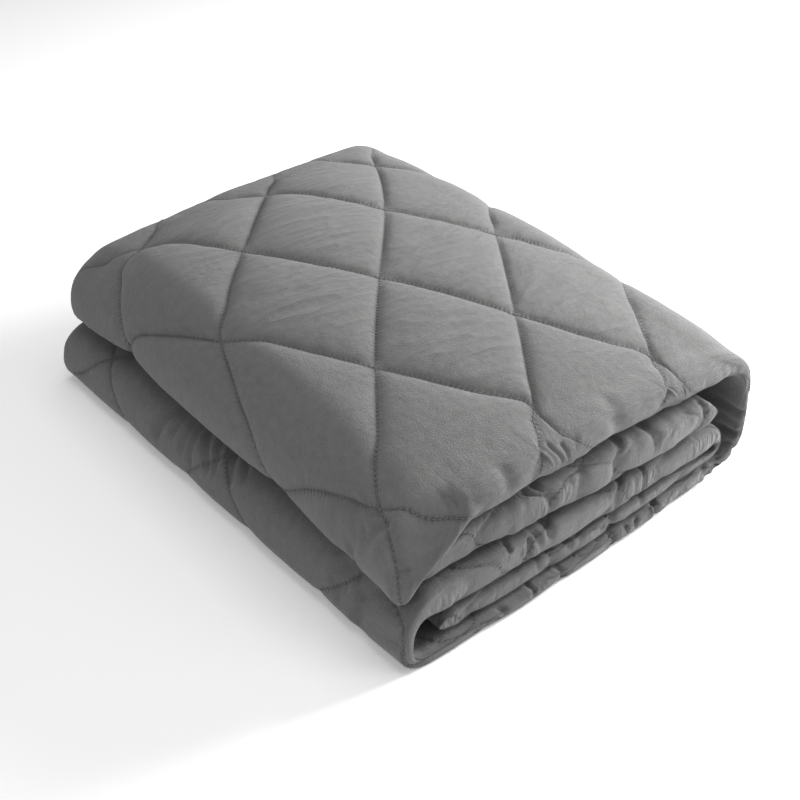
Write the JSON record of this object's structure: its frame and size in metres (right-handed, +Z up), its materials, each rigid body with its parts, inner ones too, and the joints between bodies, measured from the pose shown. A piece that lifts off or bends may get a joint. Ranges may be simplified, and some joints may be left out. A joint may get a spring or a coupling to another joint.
{
  "type": "weighted blanket",
  "caption": "Thick diamond-quilted weighted blanket, folded back and forth into a rectangular stack with rounded ends.",
  "frame": {"origin": "middle of the stack's base, on the surface that it rests on", "axes": "+X across the stack, towards the fold that wraps the whole height; +Y along the folds, away from the rounded ends that face the viewer; +Z up"},
  "size_m": [0.4014, 0.5204, 0.1709],
  "materials": {
    "cover": "matte"
  },
  "bodies": {
    "root": {"blanket": "cover"}
  },
  "joints": []
}
